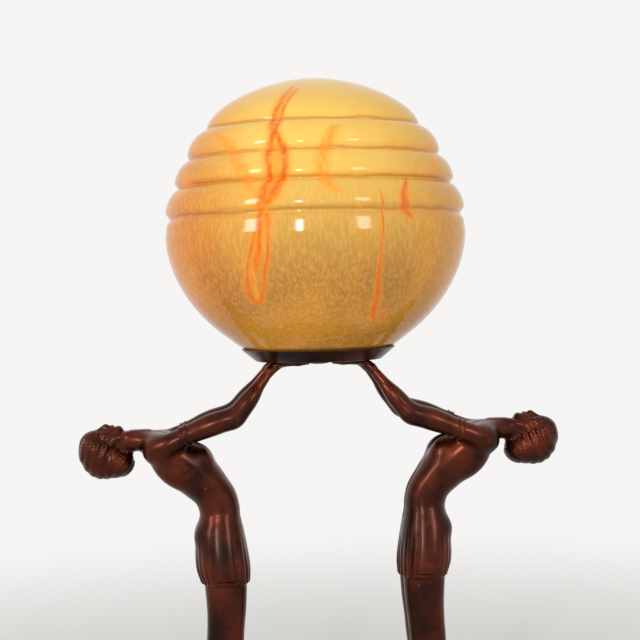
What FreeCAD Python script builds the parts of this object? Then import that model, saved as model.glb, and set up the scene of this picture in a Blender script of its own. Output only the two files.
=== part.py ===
import FreeCAD
import Part
import math
import os

# A figural table lamp. Two cast dancing figures stand face to face on an oblong plinth,
# arch outward and hold a shallow pan on their raised palms. A stepped glass
# shade sits in the pan by its own weight, around a lampholder and bulb on the lamp's axis.
#
# Frame: X along the line of the two figures, Y from front to back, Z up. The origin is
# the centre of the footprint at the surface that the lamp stands on. Millimetres.

V = FreeCAD.Vector

# ---------------------------------------------------------------- driving dimensions
# Plinth
base_length = 300.0
base_width = 130.0
base_height = 40.0
base_foot_step = 15.0
base_slope_height = 14.0
base_step_inset = 4.0
base_slope_inset = 13.0
base_land_inset = 3.0
end_flats = 16
base_wall = 5.0
base_top_wall = 6.0
base_lift = 1.0
felt_thickness = 2.5
cover_thickness = 1.5
cover_play = 0.5
cover_boss_radius = 5.0
cover_boss_across = 94.0
cover_boss_apart = 31.0
cover_screw_radius = 1.5
cover_screw_length = 9.0
screw_head_ratio = 1.9
screw_head_height = 1.6
terminal_bore_share = 3.6
inlet_height = 10.0
inlet_bore = 6.5
inlet_wall = 1.4
inlet_flange = 1.1
inlet_flange_thickness = 1.6
terminal_length = 26.0
terminal_width = 15.0
terminal_height = 11.0
terminal_bore = 3.6
terminal_back = 27.0
clamp_width = 9.0
clamp_height = 3.0

# Figures: distance of the standing leg line from the lamp's axis
stance = 86.0
foot_block_length = 44.0
foot_block_width = 42.0
foot_block_height = 6.0
foot_block_shift = 4.4
foot_block_taper = 0.9
leg_spacing = 22.6
stud_radius = 3.0
stud_apart = 22.0
stud_length = 22.0
stud_depth = 5.0
nut_across = 10.0
nut_height = 5.0
washer_radius = 6.0
washer_thickness = 1.2
pleats = 18
pleat_depth = 1.5
waist_pleat_share = 0.3
left_arm_raise = 2.2
armlet_width = 6.4
armlet_wall = 2.2
armlet_groove = 1.0
armlet_clearance = 0.4
fit_clearance = 0.05

# Pan and its fixing on the four palms
palm_height = 359.6
palm_thickness = 4.0
pan_floor_radius = 52.5
pan_rim_radius = 65.2
pan_depth = 10.5
pan_wall = 1.5
pan_screw_out = 27.0
pan_screw_side = 19.0
pan_screw_radius = 1.5
pan_screw_length = 5.5
seat_width = 5.0
seat_thickness = 2.0
seat_gap = 0.1

# Lampholder, an edison screw holder of the common household size, and its bulb
nipple_radius = 5.0
nipple_bore = 3.4
nipple_below = 3.4
nipple_above = 5.2
lock_nut_across = 14.0
lock_nut_height = 2.2
lock_washer_radius = 9.0
lock_washer_thickness = 0.8
holder_radius = 20.0
holder_wall = 1.6
holder_cap_height = 20.0
holder_sleeve_height = 32.0
holder_joint_lap = 4.0
insert_height = 13.0
insert_screw_radius = 1.35
insert_screw_apart = 18.0
contact_length = 8.0
contact_width = 3.2
contact_thickness = 1.2
thread_radius = 13.7
thread_wall = 0.5
thread_height = 22.0
bulb_radius = 30.0
bulb_cap_radius = 13.1
bulb_cap_height = 19.0
bulb_glass_height = 78.0
tip_radius = 4.6
tip_height = 1.4
insulator_radius = 5.5
insulator_height = 2.6
insulator_inset = 1.6
bulb_neck_swell = 2.5
bulb_neck_share = 0.2

# Glass shade: heights are above the pan's floor, radii from the lamp's axis
shade_wall = 3.0
shade_belly_radius = 125.8
shade_ring_radii = (105.6, 116.8, 125.2)
shade_groove_radii = (89.0, 103.8, 113.2, 121.2)
shade_groove_heights = (191.5, 166.7, 143.3, 118.3)
shade_top_height = 234.5
shade_belly_height = 102.0
shade_rim_radius = 53.0
shade_foot_radius = 67.0
shade_foot_height = 12.0
shade_dome_rise = 1.5
shade_ring_share = 0.8
shade_ring_power = 1.67
shade_bowl_power = 1.85
shade_bowl_fall = 111.0
shade_bowl_end = 52.0
shade_lip_drop = 4.5


# ---------------------------------------------------------------- worked-out levels
palm_level = base_height + palm_height
pan_floor_level = palm_level + pan_wall
seat_level = pan_floor_level + seat_thickness


# ---------------------------------------------------------------- shape helpers
def save(node, *solids):
    """Writes one node's solids to its STEP file."""
    for solid in solids:
        if not solid.isValid() or solid.Volume <= 0:
            raise ValueError("bad solid in " + node)
    shape = solids[0] if len(solids) == 1 else Part.makeCompound(list(solids))
    shape.exportStep("parts/" + node + ".step")


def box(length, width, height, x, y, z):
    """A box centred on x and y, standing on z."""
    return Part.makeBox(length, width, height, V(x - length / 2, y - width / 2, z))


def hexagon(across, height, x, y, z):
    """A hexagonal prism by its size across flats."""
    reach = across / math.sqrt(3)
    corners = [V(x + reach * math.cos(math.radians(60 * i)),
                 y + reach * math.sin(math.radians(60 * i)), z) for i in range(6)]
    return Part.Face(Part.makePolygon(corners + corners[:1])).extrude(V(0, 0, height))


def turned(profile, level=0.0, sides=36, x=0.0, y=0.0):
    """A solid turned on an upright axis from a closed outline of (radius, height).

    Round forms are drawn with a set number of flats, which keeps the model light."""
    def corner(point, step):
        angle = 2 * math.pi * step / sides
        return V(x + point[0] * math.cos(angle), y + point[0] * math.sin(angle), level + point[1])

    faces = []
    for first, second in zip(profile, profile[1:] + profile[:1]):
        if first[0] == 0 and second[0] == 0:
            continue
        for step in range(sides):
            ring = [corner(first, step), corner(first, step + 1),
                    corner(second, step + 1), corner(second, step)]
            if first[0] == 0:
                ring.pop(0)
            if second[0] == 0:
                ring.pop()
            faces.append(Part.Face(Part.makePolygon(ring + ring[:1])))
    return closed(faces)


def closed(faces):
    """The solid inside a closed set of faces."""
    shell = Part.Shell(faces)
    shell.sewShape()
    solid = Part.Solid(shell)
    if solid.Volume < 0:
        solid.reverse()
    return solid


def bar(radius, height, x, y, z, sides=16):
    """A light round bar for fasteners and other small pieces."""
    return turned([(0, 0), (radius, 0), (radius, height), (0, height)], z, sides, x, y)


def round_bar(radius, height, z, bore=0.0):
    """A truly round bar or tube on the lamp's axis, for what turns or slides on it."""
    solid = Part.makeCylinder(radius, height, V(0, 0, z))
    if bore:
        solid = solid.cut(Part.makeCylinder(bore, height, V(0, 0, z)))
    return solid


def washer(outer, inner, height, x, y, z, sides=16):
    return turned([(inner, 0), (outer, 0), (outer, height), (inner, height)], z, sides, x, y)


def screw(radius, length, head_radius, head_height, x, y, z, up=1):
    """A screw whose shank starts at z and runs up or down, with its head beyond z."""
    outline = [(0, up * length), (radius, up * length), (radius, 0), (head_radius, 0),
               (head_radius * 0.8, -up * head_height), (0, -up * head_height)]
    return turned(outline, z, 16, x, y)


def bulge(radius, reach, height, rise, power, steps, start=0.0, end=90.0):
    """Points of a quarter superellipse that starts at its side and ends at its top."""
    points = []
    for i in range(steps + 1):
        angle = math.radians(start + (end - start) * i / steps)
        points.append((radius + reach * max(math.cos(angle), 0) ** (2 / power),
                       height + rise * max(math.sin(angle), 0) ** (2 / power)))
    return points


def stadium(length, width, z):
    """A ring of points along two straight sides and two half-round ends."""
    radius = width / 2
    run = length / 2 - radius
    ring = []
    for sign in (1, -1):
        for step in range(end_flats + 1):
            angle = math.pi * (step / end_flats - 0.5)
            ring.append(V(sign * (run + radius * math.cos(angle)), sign * radius * math.sin(angle), z))
    return ring


def slab(length, width, z, height):
    return loft([stadium(length, width, z), stadium(length, width, z + height)])


def loft(rings):
    """A solid through closed rings of as many points each, in flat facets."""
    faces = [Part.Face(Part.makePolygon(ring + ring[:1])) for ring in (rings[0], rings[-1])]
    for low, high in zip(rings, rings[1:]):
        for k in range(len(low)):
            n = (k + 1) % len(low)
            quad = [low[k], low[n], high[n], high[k]]
            if flat(quad):
                faces.append(Part.Face(Part.makePolygon(quad + quad[:1])))
            else:
                faces.append(Part.Face(Part.makePolygon([low[k], low[n], high[n], low[k]])))
                faces.append(Part.Face(Part.makePolygon([low[k], high[n], high[k], low[k]])))
    return closed(faces)


def flat(quad):
    """Whether four points lie in one plane."""
    normal = (quad[1] - quad[0]).cross(quad[2] - quad[0])
    return abs(normal.dot(quad[3] - quad[0])) < 1e-7 * max(normal.Length, 1)


def oval(out, y, up, half_depth, half_width, lean, sides):
    """A ring of points round (out, y, up), in a plane that leans outward by lean degrees."""
    angle = math.radians(lean)
    ring = []
    for i in range(sides):
        turn = 2 * math.pi * (i + 0.5) / sides
        depth = half_depth * math.cos(turn)
        ring.append(V(out + depth * math.cos(angle), y + half_width * math.sin(turn),
                      up - depth * math.sin(angle)))
    return ring


def limb_rings(path, sides):
    """Rings square to a path of (out, y, up, radius) stations."""
    centres = [V(out, y, up) for out, y, up, _ in path]
    rings = []
    for i, centre in enumerate(centres):
        along = direction(centres, i)
        across = along.cross(V(0, 1, 0))
        across.normalize()
        over = along.cross(across)
        turns = [2 * math.pi * (k + 0.5) / sides for k in range(sides)]
        rings.append([centre + across * (path[i][3] * math.cos(t)) + over * (path[i][3] * math.sin(t))
                      for t in turns])
    return rings


def direction(centres, i):
    """The way a path runs at its point i."""
    along = centres[min(i + 1, len(centres) - 1)] - centres[max(i - 1, 0)]
    along.normalize()
    return along


def mirrored_pair(shape):
    """The right-hand shape and the same one turned half a turn about the lamp's axis."""
    turned_copy = shape.copy()
    turned_copy.rotate(V(0, 0, 0), V(0, 0, 1), 180)
    return shape, turned_copy


# ---------------------------------------------------------------- plinth
def make_plinth():
    """The hollow cast plinth with its bosses, stud holes and cable inlet."""
    step_top = base_lift + base_foot_step
    slope_top = step_top + base_slope_height
    slope_low = base_step_inset * 2
    slope_high = slope_low + base_slope_inset * 2
    land = slope_high + base_land_inset * 2
    body = slab(base_length, base_width, base_lift, base_foot_step)
    body = body.fuse(loft([stadium(base_length - slope_low, base_width - slope_low, step_top),
                           stadium(base_length - slope_high, base_width - slope_high, slope_top)]))
    body = body.fuse(slab(base_length - land, base_width - land, slope_top, base_height - slope_top))
    ceiling = base_height - base_top_wall
    inner = slope_low + base_wall * 2
    low = slab(base_length - inner, base_width - inner, 0, step_top)
    inner_high = land + base_wall * 2
    high = loft([stadium(base_length - inner, base_width - inner, step_top),
                 stadium(base_length - inner_high, base_width - inner_high, ceiling)])
    body = body.cut(low.fuse(high))
    cover_top = felt_thickness + cover_thickness
    for x, y in cover_screw_places():
        boss = bar(cover_boss_radius, ceiling - cover_top, x, y, cover_top)
        hole = bar(cover_screw_radius + fit_clearance, cover_screw_length, x, y, cover_top)
        body = body.fuse(boss).cut(hole)
    for x, y in stud_places():
        body = body.cut(bar(stud_radius + fit_clearance, base_top_wall, x, y, ceiling))
    inlet = Part.makeCylinder(inlet_bore / 2 + inlet_wall + fit_clearance, base_width / 4,
                              V(0, base_width / 2 - base_width / 8, inlet_height), V(0, 1, 0))
    body = body.cut(inlet)
    x, y, z = terminal_place()
    body = body.cut(bar(cover_screw_radius + fit_clearance, base_top_wall / 2, x, y, ceiling))
    return body.removeSplitter()


def cover_screw_places():
    return [(x * cover_boss_across, y * cover_boss_apart) for x in (-1, 1) for y in (-1, 1)]


def stud_places():
    """The four studs, two under each figure's foot block, in line along X."""
    centre = stance - foot_block_shift
    near = [centre - stud_apart / 2, centre + stud_apart / 2]
    return [(sign * x, 0) for sign in (-1, 1) for x in near]


def terminal_place():
    return 0, terminal_back, base_height - base_top_wall - terminal_height


def make_base_group():
    save("base_plinth", make_plinth())
    recess = (base_step_inset + base_wall + cover_play) * 2
    plate = slab(base_length - recess, base_width - recess, felt_thickness, cover_thickness)
    felt = slab(base_length - recess, base_width - recess, 0, felt_thickness)
    head_radius = cover_screw_radius * screw_head_ratio
    screws = []
    for x, y in cover_screw_places():
        plate = plate.cut(bar(cover_screw_radius + fit_clearance, cover_thickness, x, y, felt_thickness))
        felt = felt.cut(bar(head_radius + cover_play, felt_thickness, x, y, 0))
        screws.append(screw(cover_screw_radius, cover_screw_length, head_radius, screw_head_height,
                            x, y, felt_thickness))
    save("base_cover_plate", plate)
    save("base_felt_pad", felt)
    save("cover_plate_screws", *screws)
    make_cable_inlet()
    make_terminal()


def make_cable_inlet():
    """A plain bush in the back wall of the plinth for the supply cable."""
    outer_face = base_width / 2
    inner_face = outer_face - base_step_inset - base_wall
    length = outer_face - inner_face
    along = V(0, 1, 0)
    neck = Part.makeCylinder(inlet_bore / 2 + inlet_wall, length, V(0, inner_face, inlet_height), along)
    flange = Part.makeCylinder(inlet_bore / 2 + inlet_wall + inlet_flange, inlet_flange_thickness,
                               V(0, inner_face - inlet_flange_thickness, inlet_height), along)
    bore = Part.makeCylinder(inlet_bore / 2, base_width / 4,
                             V(0, outer_face - base_width / 8, inlet_height), along)
    save("cable_inlet_bush", neck.fuse(flange).cut(bore))


def make_terminal():
    """The terminal block under the plinth's top, with its screw."""
    x, y, z = terminal_place()
    block = box(terminal_length, terminal_width, terminal_height, x, y, z)
    block = block.cut(bar(cover_screw_radius + fit_clearance, terminal_height, x, y, z))
    for side in (-1, 1):
        bore = Part.makeCylinder(terminal_bore / 2, terminal_width,
                                 V(side * terminal_length / terminal_bore_share, y - terminal_width / 2,
                                   z + terminal_height / 2), V(0, 1, 0))
        block = block.cut(bore)
    save("terminal_block", block)
    save("terminal_screw", screw(cover_screw_radius, terminal_height + base_top_wall / 2,
                                 cover_screw_radius * screw_head_ratio, screw_head_height, x, y, z))


# ---------------------------------------------------------------- figures
# Each station is (distance from the leg line, height above the plinth, half depth, half width, lean).
leg_stations = [
    (-13.5, 8.4, 2.8, 4.6, 65), (-9.0, 10.4, 4.6, 5.6, 55), (-3.0, 17.0, 6.2, 5.6, 38),
    (2.0, 25.0, 6.6, 5.4, 22), (4.2, 34.0, 6.3, 5.6, 5), (4.8, 46.0, 7.6, 6.8, 0),
    (4.6, 66.0, 11.2, 9.2, 0), (2.6, 84.0, 10.4, 8.8, 0), (1.0, 95.0, 11.6, 9.2, 0),
    (0.2, 107.0, 13.2, 10.2, 0), (-0.6, 121.0, 15.3, 11.6, 0), (-1.8, 139.0, 15.6, 12.6, 0),
    (-2.7, 156.0, 16.5, 13.6, 0), (-2.5, 178.0, 18.0, 14.4, 0), (-1.0, 196.0, 17.0, 13.0, 0)]
skirt_stations = [
    (-2.6, 176.0, 20.5, 29.0, 0), (-1.0, 188.5, 22.6, 29.8, 0), (0.3, 205.3, 21.8, 27.4, 1),
    (1.2, 222.2, 19.4, 23.2, 3)]
torso_stations = [
    (1.2, 219.0, 18.6, 22.4, 3), (1.0, 228.0, 17.8, 21.0, 5), (0.9, 237.0, 17.3, 20.5, 9),
    (3.9, 247.0, 17.6, 20.5, 16), (12.0, 257.0, 19.2, 22.5, 22), (21.0, 267.0, 21.4, 25.0, 27),
    (31.0, 277.5, 21.5, 27.0, 33), (42.5, 287.0, 18.8, 28.0, 41), (52.5, 293.0, 14.2, 25.5, 50),
    (60.0, 295.6, 10.5, 15.0, 64), (67.0, 296.6, 9.0, 9.4, 80), (90.0, 296.0, 8.4, 8.6, 92)]
head_stations = [
    (-20.0, 6.5, 7.0), (-16.5, 11.5, 10.5), (-9.5, 16.0, 13.8), (0.0, 18.0, 15.4),
    (9.5, 16.8, 14.6), (16.0, 12.4, 11.2), (20.5, 6.0, 5.6)]
head_out = 98.5
head_up = 291.5
head_tip_back = 132.0
hair_roll_out = 80.0
hair_roll_up = 278.5
hair_roll_size = (12.5, 11.0, 13.0)
arm_path = [
    (53.0, 17.0, 289.0, 9.6), (44.0, 24.5, 292.5, 9.4), (31.0, 26.7, 298.1, 8.3),
    (26.6, 27.4, 300.0, 8.3), (22.0, 27.9, 301.8, 8.3), (10.0, 28.6, 306.2, 8.1),
    (-5.0, 29.2, 311.2, 7.7), (-12.0, 29.2, 314.4, 7.6), (-18.0, 28.6, 320.0, 7.0),
    (-29.0, 26.2, 333.5, 5.5), (-40.0, 23.2, 347.6, 4.1), (-45.0, 21.6, 353.6, 3.3),
    (-50.0, 20.2, 357.0, 2.3)]
arm_joint = 3
hand_plan = [
    (-43.0, 24.4), (-43.0, 17.6), (-52.0, 14.6), (-62.0, 14.0), (-70.0, 15.0), (-76.0, 18.0),
    (-74.0, 21.0), (-66.0, 23.4), (-58.0, 24.6), (-57.0, 27.6), (-52.0, 27.0)]


def placed(stations, y=0.0, sides=12):
    """Rings of a loft from stations, standing on the plinth at the leg line."""
    return [oval(stance + out, y, base_height + up, depth, width, lean, sides)
            for out, up, depth, width, lean in stations]


def make_skirt():
    """The short skirt: a flared loft whose rings are folded into pleats."""
    rings = []
    for index, (out, up, depth, width, lean) in enumerate(skirt_stations):
        fold = pleat_depth * (1 - (1 - waist_pleat_share) * index / (len(skirt_stations) - 1))
        outer = oval(stance + out, 0, base_height + up, depth, width, lean, pleats * 2)
        inner = oval(stance + out, 0, base_height + up, depth - fold, width - fold, lean, pleats * 2)
        rings.append([(outer if k % 2 else inner)[k] for k in range(pleats * 2)])
    return loft(rings)


def make_head():
    """The head, tipped back, as an egg through rings from chin to crown."""
    lean = math.radians(head_tip_back)
    along = V(math.sin(lean), 0, math.cos(lean))
    rings = []
    for reach, depth, width in head_stations:
        centre = V(stance + head_out, 0, base_height + head_up) + along * reach
        rings.append(oval(centre.x, 0, centre.z, depth, width, head_tip_back, 12))
    return loft(rings).fuse(make_hair_roll())


def make_hair_roll():
    """The roll of hair at the nape."""
    rings = []
    for step in (-0.92, -0.6, 0.0, 0.6, 0.92):
        swell = math.sqrt(1 - step ** 2)
        length, depth, width = hair_roll_size
        rings.append(oval(stance + hair_roll_out + length * step, 0, base_height + hair_roll_up,
                          depth * swell, width * swell, 90, 12))
    return loft(rings)


def arm_stations(side):
    """The arm's path on one side of the figure. The figure's left arm, on the far side, is raised."""
    lift = left_arm_raise if side > 0 else 0
    last = len(arm_path) - 1
    stations = []
    for index, (out, y, up, radius) in enumerate(arm_path):
        share = index / arm_joint if index < arm_joint else (last - index) / (last - arm_joint)
        stations.append((stance + out, side * y, base_height + up + lift * share, radius))
    return stations


def make_body():
    """One figure's casting: foot block, legs, skirt, torso, head and both shoulders."""
    length = foot_block_length / 2
    width = foot_block_width / 2
    centre = stance - foot_block_length / 10
    block = loft([oval(centre, 0, base_height, length, width, 0, 16),
                  oval(centre, 0, base_height + foot_block_height, length * foot_block_taper,
                       width * foot_block_taper, 0, 16)])
    shapes = [loft(placed(leg_stations, side * leg_spacing / 2, 10)) for side in (-1, 1)]
    shapes += [make_skirt(), loft(placed(torso_stations, 0, 14)), make_head()]
    shapes += [loft(limb_rings(arm_stations(side), 10)[:arm_joint + 1]) for side in (-1, 1)]
    body = block
    for shape in shapes:
        body = body.fuse(shape)
    for x, y in stud_places():
        if x > 0:
            body = body.cut(bar(stud_radius + fit_clearance, stud_depth, x, y, base_height))
    return body


def make_arm(side):
    """One arm casting, from the joint under its armlet to its open palm."""
    arm = loft(limb_rings(arm_stations(side), 10)[arm_joint:])
    corners = [V(stance + out, side * y, palm_level - palm_thickness) for out, y in hand_plan]
    hand = Part.Face(Part.makePolygon(corners + corners[:1])).extrude(V(0, 0, palm_thickness))
    above = box(base_length, base_width, base_height, 0, 0, palm_level)
    arm = arm.fuse(hand).cut(above)
    x, y = pan_screw_out, side * pan_screw_side
    hole = bar(pan_screw_radius + fit_clearance, pan_screw_length - pan_wall, x, y,
                    pan_floor_level - pan_screw_length)
    return arm.cut(hole)


def make_armlet(side):
    """A grooved band that covers the joint between shoulder and arm."""
    stations = arm_stations(side)
    centres = [V(out, y, up) for out, y, up, _ in stations]
    radius = stations[arm_joint][3]
    rim = radius + armlet_wall
    waist = rim - armlet_groove
    third = armlet_width / 3
    bore = radius + armlet_clearance
    band = turned([(bore, 0), (rim, 0), (rim, third), (waist, third), (waist, 2 * third),
                   (rim, 2 * third), (rim, armlet_width), (bore, armlet_width)], -armlet_width / 2, 16)
    band.Placement = FreeCAD.Placement(centres[arm_joint],
                                       FreeCAD.Rotation(V(0, 0, 1), direction(centres, arm_joint)))
    return band


def make_figures():
    right, left = mirrored_pair(make_body())
    save("right_figure_body", right)
    save("left_figure_body", left)
    armlets = []
    for side, name in ((-1, "front"), (1, "back")):
        arm, other = mirrored_pair(make_arm(side))
        opposite = "back" if name == "front" else "front"
        save("right_figure_" + name + "_arm", arm)
        save("left_figure_" + opposite + "_arm", other)
        armlets += mirrored_pair(make_armlet(side))
    save("armlets", *armlets)
    ceiling = base_height - base_top_wall
    places = stud_places()
    studs = [bar(stud_radius, stud_length, x, y, base_height + stud_depth - stud_length)
             for x, y in places]
    save("foot_studs", *studs)
    bore = stud_radius + fit_clearance
    save("foot_washers", *[washer(washer_radius, bore, washer_thickness, x, y, ceiling - washer_thickness)
                             for x, y in places])
    nut_level = ceiling - washer_thickness - nut_height
    save("foot_nuts", *[hexagon(nut_across, nut_height, x, y, nut_level)
                        .cut(bar(bore, nut_height, x, y, nut_level)) for x, y in places])


# ---------------------------------------------------------------- pan and lampholder
def make_pan_group():
    """The shallow pan, the seat ring for the glass and the four screws into the palms."""
    slant = (pan_rim_radius - pan_floor_radius) / pan_depth
    skin = pan_wall * math.sqrt(1 + slant ** 2)
    inner_floor = pan_floor_radius + slant * pan_wall - skin
    pan = turned([(nipple_radius + fit_clearance, 0), (pan_floor_radius, 0),
                  (pan_rim_radius, pan_depth), (pan_rim_radius - skin, pan_depth),
                  (inner_floor, pan_wall), (nipple_radius + fit_clearance, pan_wall)], palm_level, 48)
    screws = []
    for x in (-pan_screw_out, pan_screw_out):
        for y in (-pan_screw_side, pan_screw_side):
            bore = pan_screw_radius + fit_clearance
            pan = pan.cut(bar(bore, pan_wall, x, y, palm_level))
            screws.append(screw(pan_screw_radius, pan_screw_length, pan_screw_radius * screw_head_ratio,
                                screw_head_height, x, y, pan_floor_level, -1))
    save("gallery_pan", pan)
    save("pan_screws", *screws)
    save("shade_seat_ring", washer(inner_floor, inner_floor - seat_width, seat_thickness,
                                   0, 0, pan_floor_level, 48))


def make_lampholder():
    """A two-part holder on a threaded nipple, with its insert, thread shell and contacts."""
    bore = nipple_radius + fit_clearance
    save("nipple", washer(nipple_radius, nipple_bore, nipple_below + pan_wall + nipple_above,
                          0, 0, palm_level - nipple_below))
    nut_level = palm_level - lock_washer_thickness - lock_nut_height
    save("nipple_lock_nut", hexagon(lock_nut_across, lock_nut_height, 0, 0, nut_level)
         .cut(bar(bore, lock_nut_height, 0, 0, nut_level)))
    save("nipple_washer", washer(lock_washer_radius, bore, lock_washer_thickness, 0, 0,
                                 palm_level - lock_washer_thickness))
    inner = holder_radius - holder_wall
    save("lampholder_cap", turned([(bore, 0), (holder_radius - 3 * holder_wall, 0),
                                   (holder_radius, 3 * holder_wall), (holder_radius, holder_cap_height),
                                   (inner, holder_cap_height), (inner, 3 * holder_wall + holder_wall),
                                   (inner - 3 * holder_wall, holder_wall), (bore, holder_wall)],
                                  pan_floor_level))
    insert_level = pan_floor_level + holder_cap_height - insert_height
    sleeve_level = pan_floor_level + holder_cap_height
    insert_radius = inner - fit_clearance
    insert = bar(insert_radius, insert_height + holder_joint_lap, 0, 0, insert_level, 36)
    for side in (-1, 1):
        insert = insert.cut(bar(insert_screw_radius + fit_clearance, insert_height + holder_joint_lap,
                                side * insert_screw_apart / 2, 0, insert_level))
    save("lampholder_insert", insert)
    save("lampholder_sleeve", washer(holder_radius, inner, holder_sleeve_height, 0, 0, sleeve_level, 36))
    thread_level = sleeve_level + holder_joint_lap
    save("thread_shell", round_bar(thread_radius + thread_wall, thread_height, thread_level, thread_radius))
    save("centre_contact", box(contact_length, contact_width, contact_thickness, 0, 0, thread_level))
    save("insert_screws", *[bar(insert_screw_radius, insert_height, side * insert_screw_apart / 2, 0,
                                insert_level + holder_joint_lap) for side in (-1, 1)])
    return thread_level


def make_bulb(thread_level):
    """The bulb: glass on a screw cap, with the insulator and the centre contact."""
    level = thread_level + contact_thickness + seat_gap + tip_height
    save("bulb_contact", bar(tip_radius, tip_height, 0, 0, level - tip_height))
    insulator = turned([(0, 0), (insulator_radius, 0), (bulb_cap_radius - insulator_inset, insulator_height),
                        (0, insulator_height)], level)
    save("bulb_insulator", insulator)
    cap_level = level + insulator_height
    save("bulb_cap", round_bar(bulb_cap_radius, bulb_cap_height, cap_level))
    top = bulb_glass_height
    belly = top - bulb_radius
    outline = [(0, 0), (bulb_cap_radius, 0), (bulb_cap_radius + bulb_neck_swell, bulb_neck_share * top)]
    outline += [(bulb_radius * math.cos(math.radians(a)), belly + bulb_radius * math.sin(math.radians(a)))
                for a in (-36, -12, 12, 36, 60, 78)]
    outline += [(0, top)]
    save("bulb_glass", turned(outline, cap_level + bulb_cap_height))


# ---------------------------------------------------------------- glass shade
def make_shade():
    """The moulded shade: a domed cap, three stepped rings and a deep bowl, open below."""
    grooves = list(zip(shade_groove_radii, shade_groove_heights))
    crown = shade_groove_heights[0] + shade_dome_rise
    outline = [(0.0, shade_top_height)]
    dome = bulge(0, shade_groove_radii[0], crown, shade_top_height - crown, shade_ring_power, 5)
    outline += list(reversed(dome))[1:]
    for index, ring_radius in enumerate(shade_ring_radii):
        groove_r, groove_z = grooves[index]
        next_r, next_z = grooves[index + 1]
        drop = shade_ring_share * (groove_z - next_z)
        ring = bulge(groove_r, ring_radius - groove_r, groove_z - drop, drop,
                      shade_ring_power, 3)
        outline += list(reversed(ring))
    last_r, last_z = grooves[-1]
    outline += [(last_r, last_z), ((last_r + shade_belly_radius) / 2 + 1.0, last_z - shade_lip_drop)]
    bowl = bulge(0, shade_belly_radius, 0, shade_bowl_fall, shade_bowl_power, 6, 0, shade_bowl_end)
    outline += [(r, shade_belly_height + shade_dome_rise - z) for r, z in bowl]
    rim = seat_thickness + seat_gap
    neck = shade_foot_radius - shade_rim_radius
    outline += [(shade_foot_radius, shade_foot_height),
                (shade_rim_radius + 0.6 * neck, rim + 0.68 * (shade_foot_height - rim)),
                (shade_rim_radius + 0.25 * neck, rim + 0.31 * (shade_foot_height - rim)),
                (shade_rim_radius, rim)]
    inside = [(shade_rim_radius - shade_wall, rim)]
    bowl = bulge(0, shade_belly_radius - shade_wall, 0, shade_bowl_fall - shade_wall,
                 shade_bowl_power, 4, 0, shade_bowl_end)
    inside += [(r, shade_belly_height + shade_dome_rise - z) for r, z in reversed(bowl)]
    for groove_r, groove_z in reversed(grooves):
        inside.append((groove_r - shade_wall, groove_z - shade_wall))
    dome = bulge(0, shade_groove_radii[0] - shade_wall, crown - shade_wall,
                 shade_top_height - crown, shade_ring_power, 3)
    inside += dome[1:-1]
    inside.append((0.0, shade_top_height - shade_wall))
    save("glass_shade", turned(outline + inside, pan_floor_level, 44))


os.makedirs("parts", exist_ok=True)
make_base_group()
make_figures()
make_pan_group()
make_bulb(make_lampholder())
make_shade()
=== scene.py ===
import math

import bpy
import numpy as np
import openvdb
from mathutils import Matrix, Vector


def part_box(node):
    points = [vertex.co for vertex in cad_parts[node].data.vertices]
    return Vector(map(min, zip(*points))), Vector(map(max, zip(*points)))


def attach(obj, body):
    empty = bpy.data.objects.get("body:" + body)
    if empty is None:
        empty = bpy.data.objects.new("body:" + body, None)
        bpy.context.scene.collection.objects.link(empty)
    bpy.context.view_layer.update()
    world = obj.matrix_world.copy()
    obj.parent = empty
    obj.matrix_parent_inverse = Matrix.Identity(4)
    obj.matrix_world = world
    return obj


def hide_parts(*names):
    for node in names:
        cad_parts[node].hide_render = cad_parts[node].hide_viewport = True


# A figural table lamp: two dancing figures in patinated bronze carry a pan and a stepped
# shade of mottled glass. Figures are modelled as pressed-together forms in a distance field.

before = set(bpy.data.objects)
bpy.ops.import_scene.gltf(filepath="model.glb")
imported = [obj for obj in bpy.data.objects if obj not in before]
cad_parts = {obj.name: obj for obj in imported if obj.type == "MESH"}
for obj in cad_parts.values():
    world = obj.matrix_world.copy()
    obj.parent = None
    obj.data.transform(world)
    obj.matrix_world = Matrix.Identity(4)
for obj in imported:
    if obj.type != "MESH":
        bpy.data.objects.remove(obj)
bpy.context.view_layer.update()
MM = 0.001

# ---------------------------------------------------------------- places and shared sizes
PLINTH_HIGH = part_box("base_plinth")[1]
SLEEVE_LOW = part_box("lampholder_sleeve")[0]
BULB_LOW, BULB_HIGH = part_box("bulb_glass")
PLINTH_TOP = PLINTH_HIGH.z / MM
PALM_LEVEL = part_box("gallery_pan")[0].z / MM
PAN_WALL = 1.5
PAN_FLOOR = PALM_LEVEL + PAN_WALL
NIPPLE_BORE = 5.05


def new_object(name, data):
    made = bpy.data.objects.new(name, data)
    bpy.context.scene.collection.objects.link(made)
    return made


# ---------------------------------------------------------------- camera
CAMERA_DISTANCE = 1.263
CAMERA_HEIGHT = 0.4616
CAMERA_YAW = math.radians(4.5)
CAMERA_PITCH = math.radians(-1.3)
CAMERA_ROLL = math.radians(1.5)
FOCAL_PIXELS = 1500.0
IMAGE_PIXELS = 640.0
AXIS_PIXEL = 317.7


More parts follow.
